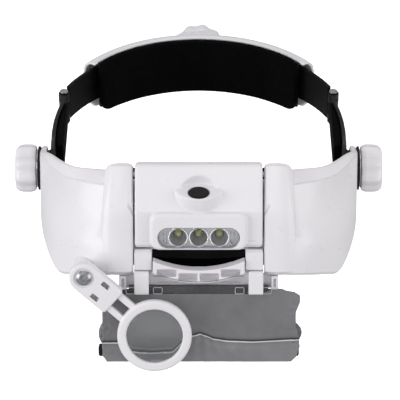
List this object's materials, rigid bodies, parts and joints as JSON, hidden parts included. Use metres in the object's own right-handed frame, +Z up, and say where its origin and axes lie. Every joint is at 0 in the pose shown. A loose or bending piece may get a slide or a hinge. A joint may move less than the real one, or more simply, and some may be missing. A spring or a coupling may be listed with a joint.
{
  "type": "head visor magnifier",
  "caption": "Head-worn magnifier: white visor with clip-in lens plates and lamp, side knobs, jointed straps, padded rear shell with ratchet dial, and a swinging side loupe.",
  "frame": {"origin": "middle of the axis through the two side knobs, which lies between the wearer's temples", "axes": "+Z up with the headband level, -Y the way the wearer looks, +X to the right in a front view"},
  "size_m": [0.2106, 0.273, 0.1021],
  "materials": {
    "white_plastic": "satin injection-moulded white",
    "black_plastic": "fine satin black",
    "black_foam": "black knit over foam",
    "black_rubber": "soft matt rubber",
    "bright_steel": "turned bright steel",
    "chrome": "vacuum-metallised reflector and plated screw",
    "clear_plastic": "polished clear acrylic",
    "grey_film": "thin grey protective film, translucent and wrinkled",
    "board_green": "solder-masked board",
    "led_yellow": "phosphor-coated LED dome",
    "cell_skin": "shrink-wrapped flat cell"
  },
  "bodies": {
    "headband": {"left_temple_arm": "black_plastic", "right_temple_arm": "black_plastic", "left_arm_lining": "black_foam", "right_arm_lining": "black_foam", "left_pivot_bolt": "bright_steel", "right_pivot_bolt": "bright_steel", "left_hinge_pin": "bright_steel", "right_hinge_pin": "bright_steel"},
    "left_knob": {"left_side_knob": "white_plastic", "left_knob_washer": "bright_steel", "left_friction_disc": "black_rubber"},
    "right_knob": {"right_side_knob": "white_plastic", "right_knob_washer": "bright_steel", "right_friction_disc": "black_rubber"},
    "left_band": {"left_strap": "black_plastic"},
    "right_band": {"right_strap": "black_plastic"},
    "shell": {"rear_shell": "white_plastic", "pad_plate": "black_plastic", "rear_pad": "black_foam"},
    "dial": {"rear_dial": "white_plastic", "dial_pinion": "black_plastic", "dial_screw": "bright_steel"},
    "visor": {"left_visor_wing": "white_plastic", "right_visor_wing": "white_plastic", "cross_member": "white_plastic", "forehead_plate": "black_plastic", "forehead_pad": "black_foam", "left_lamp_pivot": "bright_steel", "right_lamp_pivot": "bright_steel", "lens_rail": "white_plastic", "left_rail_bracket": "white_plastic", "right_rail_bracket": "white_plastic", "left_lens_clip": "white_plastic", "right_lens_clip": "white_plastic", "left_edge_bumper": "black_rubber", "right_edge_bumper": "black_rubber", "lens_plate_front": "clear_plastic", "lens_plate_rear": "clear_plastic", "lens_film": "grey_film"},
    "lamp": {"lamp_housing": "white_plastic", "housing_door": "white_plastic", "lamp_reflector": "chrome", "lamp_window": "clear_plastic", "led_left": "led_yellow", "led_centre": "led_yellow", "led_right": "led_yellow", "lamp_board": "board_green", "switch_board": "board_green", "left_battery": "cell_skin", "right_battery": "cell_skin"},
    "button": {"power_button": "black_rubber"},
    "loupe_arm": {"loupe_holder": "white_plastic", "loupe_screw": "chrome"},
    "loupe": {"loupe_ring": "white_plastic", "loupe_lens": "clear_plastic"}
  },
  "joints": [
    {"name": "visor_tilt", "type": "hinge", "parent": "headband", "child": "visor", "pos_m": [0, 0, 0], "axis": [-1, 0, 0], "range_deg": [-26, 45]},
    {"name": "left_knob_turn", "type": "hinge", "parent": "headband", "child": "left_knob", "pos_m": [-0.099, 0, 0], "axis": [-1, 0, 0], "range_deg": [0, 180]},
    {"name": "right_knob_turn", "type": "hinge", "parent": "headband", "child": "right_knob", "pos_m": [0.099, 0, 0], "axis": [1, 0, 0], "range_deg": [0, 180]},
    {"name": "dial_turn", "type": "hinge", "parent": "shell", "child": "dial", "pos_m": [0, 0.14, 0], "axis": [0, -1, 0], "range_deg": [0, 70]},
    {"name": "shell_slide", "type": "slide", "parent": "headband", "child": "shell", "axis": [0, -1, 0], "range_m": [0, 0.007]},
    {"name": "left_band_swing", "type": "hinge", "parent": "headband", "child": "left_band", "pos_m": [-0.0804, 0.069, 0], "axis": [0, 0, -1], "range_deg": [0, 5.4]},
    {"name": "right_band_swing", "type": "hinge", "parent": "headband", "child": "right_band", "pos_m": [0.0804, 0.069, 0], "axis": [0, 0, 1], "range_deg": [0, 5.4]},
    {"name": "lamp_tilt", "type": "hinge", "parent": "visor", "child": "lamp", "pos_m": [0, -0.07565, 0.04312], "axis": [-1, 0, 0], "range_deg": [0, 20]},
    {"name": "button_press", "type": "slide", "parent": "lamp", "child": "button", "axis": [0, 0.0349, -0.9994], "range_m": [0, 0.001], "stiffness_N_per_m": 300, "springref_m": -0.0005},
    {"name": "loupe_swing", "type": "hinge", "parent": "visor", "child": "loupe_arm", "pos_m": [-0.062, -0.10781, -0.0005], "axis": [0, 0.9613, -0.2756], "range_deg": [-45, 140]},
    {"name": "loupe_extend", "type": "slide", "parent": "loupe_arm", "child": "loupe", "axis": [0.7491, -0.1826, -0.6367], "range_m": [-0.0036, 0.0035]}
  ],
  "couplings": [
    {"joint": "dial_turn", "follows": "shell_slide", "rad_per_m": 174.12},
    {"joint": "left_band_swing", "follows": "shell_slide", "rad_per_m": 12.432},
    {"joint": "right_band_swing", "follows": "shell_slide", "rad_per_m": 12.432}
  ]
}
